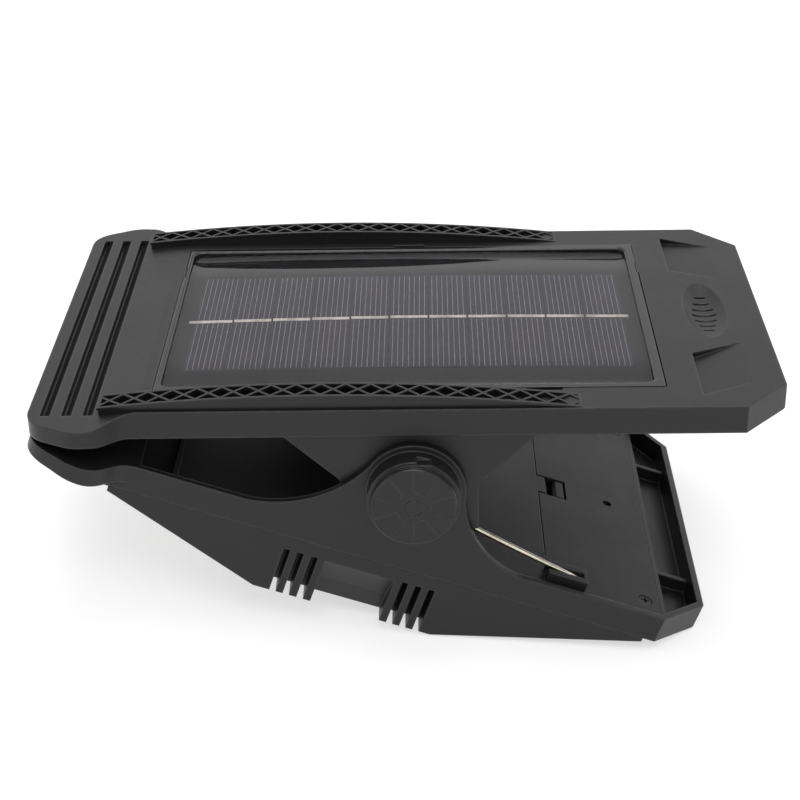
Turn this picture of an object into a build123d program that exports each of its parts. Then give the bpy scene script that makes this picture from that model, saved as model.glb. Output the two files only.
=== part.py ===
from build123d import *
from math import sin, cos, tan, radians, degrees, atan2, acos, sqrt
import os

os.makedirs("parts", exist_ok=True)

# ---------------------------------------------------------------- driving dimensions (mm)
# X runs along the clamp (mouth at -X, handles at +X), Y across it, Z up.
# Every jaw is drawn in its own (u, w) side view: u along the jaw from the pivot, w square to it.
PX, PZ = 2.99, 48.26          # pivot line
UA = 5.45                     # tilt of the upper jaw, degrees
LA = -14.05                   # tilt of the lower jaw, degrees
BODY_H = 60.6                 # half width of both jaws
LIP_H = 69.3                  # half width of the flared lips
LIP_U = -105.5                # lip edge
SH0, SH1 = -90.0, -74.5       # where the lips narrow to the body
WALL = 2.0
GAP = 0.3

UP_TOP, UP_SKIRT = 26.0, 17.8     # upper jaw: top face and skirt edge
UP_SKIN = 1.9
UP_END, UP_CHAM, END_H = 103.7, 91.0, 47.0
LO_EDGE, LO_SEAM = -17.3, -25.6   # lower jaw: wall edge and underside
LO_END, LO_CHAM = 96.5, 82.5

TRAY_U0, TRAY_U1, TRAY_H = -72.2, 70.2, 48.4
PANEL_U0, PANEL_U1, PANEL_H = -70.6, 67.4, 46.0
CELLS, CELL_P, CELL_L, CELL_HY, CELL_U0, CELL_Y = 11, 11.72, 11.45, 31.25, -65.8, -2.0

PIVOT_R, BORE_R = 2.0, 2.06
EAR_R = 14.7
DRUM_R, DRUM_Y = 12.05, 69.2
COIL_R, WIRE_R, COIL_Y0, COIL_Y1 = 7.3, 0.75, 43.2, 50.2
COVER_W = -19.3               # inner cover face
DOOR_U0, DOOR_U1, DOOR_H = 5.0, 47.4, 41.0

FLAT_W = -44.6               # lamp housing flat
WE_U0, WE_W0, WE_U1, WE_U2, WE_U3 = -81.0, -27.4, -33.6, 20.0, 79.0
SLOPE_R = tan(radians(16.6))
WE_W3 = FLAT_W + (WE_U3 - WE_U2) * SLOPE_R


def flat(angle, w=0.0, u=0.0, y=0.0):
    """Plane parallel to a jaw at height w, x along the jaw."""
    a = radians(angle)
    return Plane(origin=(PX + u * cos(a) - w * sin(a), y, PZ + u * sin(a) + w * cos(a)),
                 x_dir=(cos(a), 0, sin(a)), z_dir=(-sin(a), 0, cos(a)))


def side(angle, y=0.0, u=0.0, w=0.0, turn=0.0):
    """Side view of a jaw in the plane at y, extruding towards -Y."""
    a = radians(angle)
    t = radians(angle + turn)
    return Plane(origin=(PX + u * cos(a) - w * sin(a), y, PZ + u * sin(a) + w * cos(a)),
                 x_dir=(cos(t), 0, sin(t)), z_dir=(0, -1, 0))


def put(part, name):
    part.label = name
    export_step(part, "parts/" + name + ".step")


def jaw_plan(k, end_u, cham_u):
    """Plan of a jaw with its flared lip, inset by k."""
    with BuildLine() as outline:
        Line((LIP_U + k, 0), (LIP_U + k, LIP_H - 12.5 - k))
        Spline([(LIP_U + k, LIP_H - 12.5 - k), (LIP_U + 1.9 + 0.85 * k, LIP_H - 6.6 - 0.8 * k),
                (LIP_U + 7.0 + 0.4 * k, LIP_H - 3.0 - k)], tangents=[(0, 1), (1, 0.42)])
        Spline([(LIP_U + 7.0 + 0.4 * k, LIP_H - 3.0 - k), (SH0, LIP_H - k)], tangents=[(1, 0.42), (1, 0)])
        Spline([(SH0, LIP_H - k), (SH1, BODY_H - k)], tangents=[(1, 0), (1, 0)])
        Line((SH1, BODY_H - k), (cham_u - 0.4 * k, BODY_H - k))
        Line((cham_u - 0.4 * k, BODY_H - k), (end_u - k, END_H - 0.4 * k))
        Line((end_u - k, END_H - 0.4 * k), (end_u - k, 0))
        mirror(about=Plane.XZ)
    make_face(outline.edges())


def bay_plan(u0, end_u, cham_u, k):
    """Plan of the hollow behind the shoulder, inset by k."""
    with BuildLine() as outline:
        Polyline((u0, 0), (u0, BODY_H - k), (cham_u - 0.4 * k, BODY_H - k),
                 (end_u - k, END_H - 0.4 * k), (end_u - k, 0))
        mirror(about=Plane.XZ)
    make_face(outline.edges())


def poly(*pts):
    with BuildLine() as outline:
        Polyline(*pts, close=True)
    make_face(outline.edges())


def tray_plan(k):
    """Plan of the tray, with a small step on both ends, grown by k."""
    with BuildLine() as outline:
        Polyline((TRAY_U0 - k, -TRAY_H - k), (TRAY_U1 + k, -TRAY_H - k), (TRAY_U1 + k, 27.0 + k),
                 (TRAY_U1 - 0.6 + k, 27.0 + k), (TRAY_U1 - 0.6 + k, 34.0 - k), (TRAY_U1 - 0.3 + k, 34.0 - k),
                 (TRAY_U1 - 0.3 + k, TRAY_H + k), (TRAY_U0 + 0.3 - k, TRAY_H + k),
                 (TRAY_U0 + 0.3 - k, 34.0 - k), (TRAY_U0 + 0.6 - k, 34.0 - k), (TRAY_U0 + 0.6 - k, 27.0 + k),
                 (TRAY_U0 - k, 27.0 + k), (TRAY_U0 - k, -TRAY_H - k))
    make_face(outline.edges())


def bow(u, top=24.3, sag=0.75):
    """Height of the gently crowned panel at u."""
    return top - sag * ((u - (PANEL_U0 + PANEL_U1) / 2) / ((PANEL_U1 - PANEL_U0) / 2)) ** 2


# ================================================================ upper jaw
with BuildPart() as upper_jaw_shell:
    with BuildSketch(flat(UA, UP_SKIRT)):
        jaw_plan(0, UP_END, UP_CHAM)
    extrude(amount=UP_TOP - UP_SKIRT)
    # thinner lip: its top drops by 1.3 and its underside rises by 1.9
    with BuildSketch(side(UA)):
        poly((-112, 24.7), (-88, 24.7), (-75.5, UP_TOP), (-75.5, 34), (-112, 34))
        poly((-112, 12), (-76, 12), (-76, UP_SKIRT), (-88, 19.7), (-112, 19.7))
    extrude(amount=90, both=True, mode=Mode.SUBTRACT)
    # pocket for the grip pad
    with BuildSketch(flat(UA, 18.0)):
        with Locations((-96.0, 0)):
            RectangleRounded(13.2, 108.2, 2.0)
    extrude(amount=2.4, mode=Mode.SUBTRACT)
    top_edges = upper_jaw_shell.faces().sort_by(Axis.Z)[-1].edges()
    fillet(top_edges.filter_by(lambda e: e.length > 12 and abs(e.center().X + 76) > 5), 0.7)
    # hollow skirt
    with BuildSketch(flat(UA, UP_SKIRT - 2)):
        bay_plan(-74.0, UP_END, UP_CHAM, WALL)
    extrude(amount=UP_TOP - UP_SKIN - UP_SKIRT + 2, mode=Mode.SUBTRACT)
    # thicker skin under the thumb dimple and the ramps
    with BuildSketch(flat(UA, 21.8)):
        poly((77, -56), (90, -56), (98, -47.5), (98, 47.5), (90, 56), (77, 56))
    extrude(amount=UP_TOP - UP_SKIN - 21.8 + 0.1)
    # tray opening in the top
    with BuildSketch(flat(UA, UP_TOP - 4)):
        tray_plan(0.25)
    extrude(amount=8, mode=Mode.SUBTRACT)
    # notch for the tray's far clip tab and a release slot at its near edge
    with BuildSketch(flat(UA, UP_TOP - 1.2)):
        with Locations((-1.5, TRAY_H + 0.9)):
            Rectangle(9.6, 2.0)
        with Locations((36.5, -TRAY_H - 0.6)):
            Rectangle(10.0, 1.8)
    extrude(amount=3, mode=Mode.SUBTRACT)
    # three grip grooves across the lip, each with a floor that climbs backwards
    with BuildSketch(side(UA)):
        for g in (-101.8, -95.9, -90.0):
            poly((g, 26), (g, 22.5), (g + 0.5, 22.5), (g + 2.7, 24.0), (g + 2.7, 26))
    extrude(amount=59.6, both=True, mode=Mode.SUBTRACT)
    # thumb dimple: a spindle turned about a line above the handle
    with BuildSketch(Plane(origin=flat(UA, UP_TOP + 7.2, 87.2).origin, x_dir=(0, 1, 0),
                           z_dir=flat(UA).x_dir)):
        with BuildLine():
            ThreePointArc((-18.4, -7.25), (0, -9.6), (18.4, -7.25))
            Polyline((18.4, -7.25), (18.4, 0), (-18.4, 0), (-18.4, -7.25))
        make_face()
    revolve(axis=Axis(flat(UA, UP_TOP + 7.2, 87.2).origin, (0, 1, 0)), mode=Mode.SUBTRACT)
    # seven short finger grooves in the dimple
    for i, half in enumerate((1.2, 1.9, 2.7, 3.2, 2.7, 1.9, 1.2)):
        yy = (i - 3) * 3.7
        dip = 2.1 - 0.9 * (yy / 14.0) ** 2
        with BuildSketch(flat(UA, UP_TOP - dip - 0.75, 87.2, yy)):
            SlotOverall(2 * half + 1.1, 1.15)
        extrude(amount=5, mode=Mode.SUBTRACT)
    # two ramp recesses beside the dimple
    for s in (1, -1):
        a = radians(UA)
        ramp = flat(UA + 7.4, 0)
        base = flat(UA, UP_TOP - 1.9, 80.0).origin
        with BuildSketch(Plane(origin=base, x_dir=ramp.x_dir, z_dir=ramp.z_dir)):
            poly((0, s * 28.5), (0, s * 53.5), (15.2, s * 46), (15.2, s * 22))
        extrude(amount=6, mode=Mode.SUBTRACT)
    # inset ear plates and the axle bosses that the springs sit on
    for s in (1, -1):
        with BuildSketch(side(UA, s * 58.3 if s > 0 else -55.4)):
            with BuildLine():
                Polyline((-37, 24.4), (-37, 17.8), (-21.0, 3.0), (-17, -5))
                ThreePointArc((-17, -5), (-8.5, -14.2), (2, -15.6))
                Polyline((2, -15.6), (18.2, -13.6), (18.2, 1.0), (35.5, 17.8), (35.5, 24.4), (-37, 24.4))
            make_face()
        extrude(amount=2.9)
        with BuildSketch(side(UA, s * 60.0 if s > 0 else -55.4)):
            with Locations((0, 21.6)):
                Rectangle(60, 5.6)
        extrude(amount=4.6)
        with BuildSketch(side(UA, s * 55.5 if s > 0 else -42.3)):
            Circle(5.4)
        extrude(amount=13.2)
        with BuildSketch(side(UA, s * 61 if s > 0 else -40)):
            Circle(BORE_R)
        extrude(amount=21, mode=Mode.SUBTRACT)
    # bosses for the inner cover
    for s in (1, -1):
        with BuildSketch(flat(UA, 19.0)):
            with Locations((-70.2, s * 53.5), (78.5, s * 30)):
                Circle(3.0)
        extrude(amount=UP_TOP - UP_SKIN - 19.0 + 0.2)
        with BuildSketch(flat(UA, 18.5)):
            with Locations((-70.2, s * 53.5), (78.5, s * 30)):
                Circle(1.05)
        extrude(amount=5.0, mode=Mode.SUBTRACT)
put(upper_jaw_shell.part, "upper_jaw_shell")

# ---------------------------------------------------------------- arched lattice guard straps
RAIL_Y0, RAIL_Y1, RAIL_U0, RAIL_U1, RAIL_P = 52.1, 59.9, -86.0, 46.2, 6.81

for s, nm in ((1, "far"), (-1, "near")):
    yc = s * (RAIL_Y0 + RAIL_Y1) / 2
    with BuildPart() as rail:
        # arched rib standing on the top face, its two side walls set in under the rim
        with BuildSketch(side(UA, RAIL_Y1 - 0.4 if s > 0 else -RAIL_Y0 - 0.4)):
            with BuildLine() as rib:
                ThreePointArc((RAIL_U0 + 0.3, 27.1), (-19.5, 30.2), (RAIL_U1, 26.06))
                Polyline((RAIL_U1, 26.06), (RAIL_U1, 26.02), (-75.3, 26.02), (RAIL_U0 + 0.3, 24.97),
                         (RAIL_U0 + 0.3, 27.1))
            make_face(rib.edges())
        extrude(amount=RAIL_Y1 - RAIL_Y0 - 0.8)
        with BuildSketch(side(UA, yc + 2.8)):
            with BuildLine() as room:
                ThreePointArc((-84.8, 26.1), (-19.5, 29.2), (44.0, 25.3))
                Polyline((44.0, 25.3), (44.0, 24.0), (-84.8, 24.0), (-84.8, 26.1))
            make_face(room.edges())
        extrude(amount=5.6, mode=Mode.SUBTRACT)
        with BuildSketch(side(UA, RAIL_Y1 if s > 0 else -RAIL_Y0)):
            with BuildLine() as rim:
                ThreePointArc((RAIL_U0, 27.1), (-19.5, 30.2), (RAIL_U1, 26.06))
                Polyline((RAIL_U1, 26.06), (RAIL_U1, 26.03), (40.0, 26.03))
                ThreePointArc((40.0, 26.03), (-19.5, 29.55), (RAIL_U0, 26.4))
                Line((RAIL_U0, 26.4), (RAIL_U0, 27.1))
            make_face(rim.edges())
        extrude(amount=RAIL_Y1 - RAIL_Y0)
        # lattice: everything between the crossed bars is cut away
        half = (RAIL_Y1 - RAIL_Y0) / 2 - 0.85
        with BuildSketch(flat(UA, 22)) as lattice:
            with Locations(((RAIL_U0 + RAIL_U1) / 2, yc)):
                Rectangle(RAIL_U1 - RAIL_U0 - 1.6, 2 * half)
            for i in range(20):
                uc = -82.9 + i * RAIL_P
                for d in (1, -1):
                    ang = degrees(atan2(2 * half, RAIL_P))
                    with Locations(Location((uc, yc, 0), (0, 0, d * ang))):
                        Rectangle(sqrt(RAIL_P ** 2 + 4 * half ** 2) + 0.6, 0.72, mode=Mode.SUBTRACT)
        extrude(amount=12, mode=Mode.SUBTRACT)
    put(rail.part, "lattice_strap_" + nm)

# ---------------------------------------------------------------- tray, panel, cells
PANEL_M = (PANEL_U0 + PANEL_U1) / 2

with BuildPart() as panel_tray:
    with BuildSketch(flat(UA, UP_TOP - 4.6)):
        tray_plan(0)
    extrude(amount=4.75)
    fillet(panel_tray.faces().sort_by(Axis.Z)[-1].edges().filter_by(lambda e: e.length > 20), 0.5)
    # shallow well for the panel, with a soft inner rim
    with BuildSketch(flat(UA, UP_TOP - 2.9)):
        with Locations((PANEL_M, 0)):
            RectangleRounded(PANEL_U1 - PANEL_U0, 2 * PANEL_H, 3.0)
    extrude(amount=4, mode=Mode.SUBTRACT)
    with BuildSketch(flat(UA, UP_TOP - 0.15)):
        with Locations((PANEL_M, 0)):
            RectangleRounded(PANEL_U1 - PANEL_U0 + 1.0, 2 * PANEL_H + 1.0, 3.5)
    extrude(amount=1.0, taper=-30, mode=Mode.SUBTRACT)
    # clip tab towards the far strap
    with BuildSketch(flat(UA, UP_TOP - 0.9)):
        with Locations((-1.5, TRAY_H + 0.7)):
            Rectangle(9.0, 1.6)
    extrude(amount=0.95)
    # underside hollow, so that the tray is a thin dish
    with BuildSketch(flat(UA, UP_TOP - 5)):
        with Locations(((TRAY_U0 + TRAY_U1) / 2, 0)):
            Rectangle(TRAY_U1 - TRAY_U0 - 4, 2 * TRAY_H - 4)
    extrude(amount=1.5, mode=Mode.SUBTRACT)
    with BuildSketch(flat(UA, UP_TOP - 8)):
        with Locations((PANEL_U0 + 12, 0)):
            Circle(2.2)
    extrude(amount=8, mode=Mode.SUBTRACT)
put(panel_tray.part, "panel_tray")

with BuildPart() as solar_panel:
    with BuildSketch(side(UA, PANEL_H - 0.1)):
        with BuildLine() as section:
            ThreePointArc((PANEL_U0 + 0.1, bow(PANEL_U0)), (PANEL_M, bow(PANEL_M)), (PANEL_U1 - 0.1, bow(PANEL_U1)))
            Polyline((PANEL_U1 - 0.1, bow(PANEL_U1)), (PANEL_U1 - 0.1, UP_TOP - 2.9), (PANEL_U0 + 0.1, UP_TOP - 2.9),
                     (PANEL_U0 + 0.1, bow(PANEL_U0)))
        make_face(section.edges())
    extrude(amount=2 * PANEL_H - 0.2)
    fillet([e for e in solar_panel.edges() if 0.3 < e.length < 0.8], 2.8)
put(solar_panel.part, "solar_panel_laminate")

with BuildPart() as solar_cells:
    with BuildSketch(side(UA, CELL_HY + CELL_Y)):
        for i in range(CELLS):
            u0 = CELL_U0 + i * CELL_P + (CELL_P - CELL_L) / 2
            u1 = u0 + CELL_L
            poly((u0, bow(u0) + 0.01), (u1, bow(u1) + 0.01), (u1, bow(u1) + 0.16), (u0, bow(u0) + 0.16))
    extrude(amount=2 * CELL_HY)
put(solar_cells.part, "solar_cells")

with BuildPart() as busbar:
    for i in range(CELLS):
        u0 = CELL_U0 + i * CELL_P + 0.3 - (1.8 if i == 0 else 0)
        u1 = CELL_U0 + (i + 1) * CELL_P - 0.3 + (1.6 if i == CELLS - 1 else 0)
        with BuildSketch(side(UA, CELL_Y + 1.15 + 0.24 * min(i, 5))):
            poly((u0, bow(u0) + 0.17), (u1, bow(u1) + 0.17), (u1, bow(u1) + 0.27), (u0, bow(u0) + 0.27))
        extrude(amount=1.7)
put(busbar.part, "busbar_ribbons")

with BuildPart() as resin:
    with BuildSketch(side(UA, PANEL_H - 0.1)):
        with BuildLine() as section:
            ThreePointArc((PANEL_U0 + 0.1, 24.8), (PANEL_M, 25.3), (PANEL_U1 - 0.1, 24.8))
            Line((PANEL_U1 - 0.1, 24.8), (PANEL_U1 - 0.1, bow(PANEL_U1) + 0.32))
            ThreePointArc((PANEL_U1 - 0.1, bow(PANEL_U1) + 0.32), (PANEL_M, bow(PANEL_M) + 0.32),
                          (PANEL_U0 + 0.1, bow(PANEL_U0) + 0.32))
            Line((PANEL_U0 + 0.1, bow(PANEL_U0) + 0.32), (PANEL_U0 + 0.1, 24.8))
        make_face(section.edges())
    extrude(amount=2 * PANEL_H - 0.2)
    fillet([e for e in resin.edges() if 0.3 < e.length < 1.3], 2.8)
put(resin.part, "panel_clear_resin")

with BuildPart() as junction:
    with BuildSketch(flat(UA, UP_TOP - 4.7)):
        with Locations((PANEL_U0 + 12, 14)):
            Rectangle(10, 16)
    extrude(amount=1.1)
put(junction.part, "panel_terminal_board")

with BuildPart() as diode:
    with BuildSketch(flat(UA, UP_TOP - 6.7)):
        with Locations((PANEL_U0 + 12, 14)):
            Rectangle(2.6, 5.2)
    extrude(amount=2.0)
put(diode.part, "blocking_diode")

# inner cover under the tray, screwed to four bosses
with BuildPart() as upper_cover:
    with BuildSketch(flat(UA, 17.6)):
        with BuildLine():
            Polyline((-73.6, 0), (-73.6, 58.2), (-66.5, 58.2), (-66.5, 55.0), (-38.5, 55.0),
                     (-38.5, 50.0), (84.0, 50.0), (84.0, 0))
            mirror(about=Plane.XZ)
        make_face()
    extrude(amount=1.2)
    with BuildSketch(flat(UA, 17.0)):
        with Locations((-70.2, 53.5), (-70.2, -53.5), (78.5, 30), (78.5, -30)):
            Circle(1.35)
    extrude(amount=3, mode=Mode.SUBTRACT)
    # stiffening ribs on the hidden side
    with BuildSketch(flat(UA, 18.8)):
        with Locations((0, -28), (0, 28)):
            Rectangle(118, 1.4)
    extrude(amount=1.6)
    # catches for the upper spring legs
    for s in (1, -1):
        with BuildSketch(flat(UA, 14.2)):
            with Locations((50.0, s * 41.2)):
                Rectangle(12.0, 7.0)
        extrude(amount=3.5)
        with BuildSketch(flat(UA, 13.2)):
            with Locations((49.0, s * 41.2)):
                Rectangle(12.0, 2.6)
        extrude(amount=3.85, mode=Mode.SUBTRACT)
put(upper_cover.part, "upper_inner_cover")

with BuildPart() as upper_screws:
    for s in (1, -1):
        for u, y in ((-70.2, 53.5), (78.5, 30)):
            with BuildSketch(flat(UA, 16.3)):
                with Locations((u, s * y)):
                    Circle(2.1)
            extrude(amount=1.25)
            with BuildSketch(flat(UA, 17.55)):
                with Locations((u, s * y)):
                    Circle(1.0)
            extrude(amount=5.0)
            with BuildSketch(flat(UA, 16.2)):
                with Locations((u, s * y)):
                    Rectangle(2.6, 0.6)
                    Rectangle(0.6, 2.6)
            extrude(amount=0.8, mode=Mode.SUBTRACT)
put(upper_screws.part, "upper_cover_screws")

with BuildPart() as upper_pad:
    with BuildSketch(flat(UA, 19.2)):
        with Locations((-96.0, 0)):
            RectangleRounded(13.0, 108, 2.0)
    extrude(amount=1.15)
    with BuildSketch(flat(UA, 18.7)):
        for i in range(5):
            with Locations((-100.6 + i * 2.3, 0)):
                Rectangle(0.9, 102)
    extrude(amount=1.0, mode=Mode.SUBTRACT)
put(upper_pad.part, "upper_grip_pad")

# ================================================================ lower jaw
with BuildPart() as lower_jaw_shell:
    with BuildSketch(flat(LA, LO_SEAM)):
        jaw_plan(0, LO_END, LO_CHAM)
    extrude(amount=LO_EDGE - LO_SEAM)
    # lip: underside rises, nose ridge closes on the upper lip
    with BuildSketch(side(LA)):
        poly((-112, -30), (-83.0, -30), (-83.0, -22.8), (-88, -22.5), (-112, -20.5))
    extrude(amount=90, both=True, mode=Mode.SUBTRACT)
    for s in (1, -1):
        with BuildSketch(side(LA, s * 90 if s > 0 else -60.6)):
            poly((-84.0, -30), (-70.0, -30), (-70.0, -25.7), (-76.0, -22.8), (-84.0, -22.8))
        extrude(amount=29.4, mode=Mode.SUBTRACT)
    # open bay between the side walls: deck under the mouth half, through opening under the handle half
    with BuildSketch(flat(LA, LO_SEAM + WALL)):
        bay_plan(-74.0, LO_END, LO_CHAM, WALL)
    extrude(amount=14, mode=Mode.SUBTRACT)
    with BuildSketch(flat(LA, LO_SEAM - 1)):
        with Locations(((-8.0 + 72.0) / 2, 0)):
            RectangleRounded(80.0, 92.0, 3.0)
    extrude(amount=8, mode=Mode.SUBTRACT)
    # ears with their swept feet
    for s in (1, -1):
        with BuildSketch(side(LA, s * 60.6 if s > 0 else -58.6)):
            with BuildLine():
                ThreePointArc((-44, -17.4), (-25.8, -10.6), (-14.2, 3.8))
                ThreePointArc((-14.2, 3.8), (0, EAR_R), (14.5, 2.4))
                ThreePointArc((14.5, 2.4), (20.6, -8.2), (38, -17.4))
                Polyline((38, -17.4), (38, -24.5), (-44, -24.5), (-44, -17.4))
            make_face()
        extrude(amount=2.0)
        # drum that stands out from the ear, with a stepped collar
        with BuildSketch(side(LA, s * (BODY_H + 6.2) if s > 0 else -BODY_H + 0.1)):
            Circle(13.0)
        extrude(amount=6.3)
        with BuildSketch(side(LA, s * (DRUM_Y - 1.2) if s > 0 else -(BODY_H - 0.1))):
            Circle(DRUM_R)
        extrude(amount=DRUM_Y - 1.1 - BODY_H)
        # open barrel for the cap and axle end
        with BuildSketch(side(LA, s * 72 if s > 0 else -(BODY_H + 1.6))):
            Circle(10.4)
        extrude(amount=72 - BODY_H - 1.6, mode=Mode.SUBTRACT)
        with BuildSketch(side(LA, s * 66 if s > 0 else -57)):
            Circle(PIVOT_R)
        extrude(amount=9, mode=Mode.SUBTRACT)
        # notch in the collar
        with BuildSketch(side(LA, s * (BODY_H + 6.3) if s > 0 else -(BODY_H + 3.0), turn=UA - LA)):
            poly((1.0, 12.06), (1.0, 14), (7.5, 14), (7.5, 12.06))
        extrude(amount=3.3, mode=Mode.SUBTRACT)
    # end cavity ribs and cover ledges
    with BuildSketch(flat(LA, LO_SEAM + 0.5)):
        with Locations((88.6, 32), (88.6, -32)):
            Rectangle(11.0, 1.5)
        with Locations((83.8, 0)):
            Rectangle(1.6, 116.4)
    extrude(amount=COVER_W - LO_SEAM - 0.8)
    with BuildSketch(flat(LA, LO_SEAM + 0.4)):
        with Locations((78.3, 50.0), (78.3, -50.0), (52.5, 54.2), (52.5, -54.2)):
            Circle(3.2)
    extrude(amount=COVER_W - 1.6 - LO_SEAM - 0.4)
    with BuildSketch(flat(LA, LO_SEAM - 0.5)):
        with Locations((78.3, 50.0), (78.3, -50.0)):
            Circle(1.05)
    extrude(amount=8, mode=Mode.SUBTRACT)
    with BuildSketch(flat(LA, LO_SEAM - 0.5)):
        with Locations((-56.0, 52.5), (-56.0, -52.5), (67.0, 52.5), (67.0, -52.5)):
            Circle(1.3)
    extrude(amount=WALL + 1.5, mode=Mode.SUBTRACT)
    # cross rib inside the mouth
    with BuildSketch(flat(LA, LO_SEAM + 0.4)):
        with Locations((-64.0, 0)):
            Rectangle(1.6, 117.0)
    extrude(amount=6.4)
put(lower_jaw_shell.part, "lower_jaw_shell")

# caps closing the drums: disc with ten sectors, five of them raised
for s, nm in ((1, "far"), (-1, "near")):
    with BuildPart() as cap:
        with BuildSketch(side(LA, s * DRUM_Y if s > 0 else -(DRUM_Y - 1.2), turn=UA - LA)):
            Circle(DRUM_R)
        extrude(amount=1.2)
        with BuildSketch(side(LA, s * (DRUM_Y - 1.1) if s > 0 else -(DRUM_Y - 4.0))):
            Circle(10.3)
            Circle(8.8, mode=Mode.SUBTRACT)
        extrude(amount=2.9)
        # five lowered sectors and a fine ring round the centre
        fillet(cap.edges().filter_by(GeomType.CIRCLE).sort_by(lambda e: s * e.center().Y)[-1:], 0.7)
        face_y = s * (DRUM_Y + 0.2) if s > 0 else -(DRUM_Y - 0.25)
        with BuildSketch(side(LA, face_y, turn=UA - LA)):
            for k in range(5):
                a0 = -18 + 72 * k
                with BuildLine():
                    p = [(r * cos(radians(t)), r * sin(radians(t))) for r, t in
                         ((4.9, a0), (11.4, a0), (11.4, a0 + 18), (11.4, a0 + 36), (4.9, a0 + 36), (4.9, a0 + 18))]
                    Line(p[0], p[1])
                    ThreePointArc(p[1], p[2], p[3])
                    Line(p[3], p[4])
                    ThreePointArc(p[4], p[5], p[0])
                make_face()
        extrude(amount=0.45, mode=Mode.SUBTRACT)
        with BuildSketch(side(LA, s * (DRUM_Y + 0.2) if s > 0 else -(DRUM_Y - 0.2))):
            Circle(2.75)
            Circle(2.35, mode=Mode.SUBTRACT)
        extrude(amount=0.4, mode=Mode.SUBTRACT)
    put(cap.part, "hub_cap_" + nm)

with BuildPart() as axle:
    with BuildSketch(side(LA, 63.4)):
        Circle(PIVOT_R)
    extrude(amount=126.8)
    for s in (1, -1):
        with BuildSketch(side(LA, s * 62.9 if s > 0 else -62.3)):
            Circle(PIVOT_R + 0.2)
            Circle(1.55, mode=Mode.SUBTRACT)
        extrude(amount=0.6, mode=Mode.SUBTRACT)
put(axle.part, "pivot_axle")

with BuildPart() as clips:
    for s in (1, -1):
        with BuildSketch(side(LA, s * 62.88 if s > 0 else -62.32)):
            Circle(3.6)
            Circle(1.57, mode=Mode.SUBTRACT)
            with Locations((0, -2.4)):
                Rectangle(2.5, 3.6, mode=Mode.SUBTRACT)
        extrude(amount=0.56)
put(clips.part, "axle_retaining_clips")

# ---------------------------------------------------------------- torsion springs
# each coil sits on an upper jaw boss; one leg presses on each jaw behind the pivot
LEG_LO = (57.0, -17.5)
LEG_UP = (54.0, 16.0)


def tangent_angle(p, sign):
    """Direction from the pivot to the point where a line from p touches the coil."""
    d = sqrt(p[0] ** 2 + p[1] ** 2)
    return degrees(atan2(p[1], p[0])) + sign * degrees(acos(COIL_R / d)), sqrt(d * d - COIL_R ** 2)


lo_ang, lo_len = tangent_angle(LEG_LO, -1)
up_ang, up_len = tangent_angle(LEG_UP, 1)
start = lo_ang + LA
stop = up_ang + UA
sweep_deg = (start - stop) % 360 + 4 * 360
print("spring angles", round(start, 2), round(stop, 2), "turns", round(sweep_deg / 360, 3), "legs", round(lo_len, 1), round(up_len, 1))
for s, nm in ((1, "far"), (-1, "near")):
    span = COIL_Y1 - COIL_Y0
    a0 = radians(start)
    base = Plane(origin=(PX, s * COIL_Y1, PZ), x_dir=(cos(a0), 0, sin(a0)), z_dir=(0, -s, 0))
    with BuildLine() as wire:
        coil = Helix(pitch=span * 360 / sweep_deg, height=span, radius=COIL_R,
                     lefthand=(s > 0))
    coil = base.from_local_coords(wire.line.edges()[0])
    with BuildPart() as spring:
        with BuildSketch(Plane(origin=coil @ 0, z_dir=coil % 0)):
            Circle(WIRE_R)
        sweep(path=coil, is_frenet=True)
        with BuildSketch(Plane(origin=coil @ 0, z_dir=(coil % 0) * -1)):
            Circle(WIRE_R)
        extrude(amount=lo_len)
        with BuildSketch(Plane(origin=coil @ 1, z_dir=coil % 1)):
            Circle(WIRE_R)
        extrude(amount=up_len)
    put(spring.part, "torsion_spring_" + nm)
    print(nm, "solids", len(spring.part.solids()), "volume", round(spring.part.volume, 1), spring.part.bounding_box())

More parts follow.
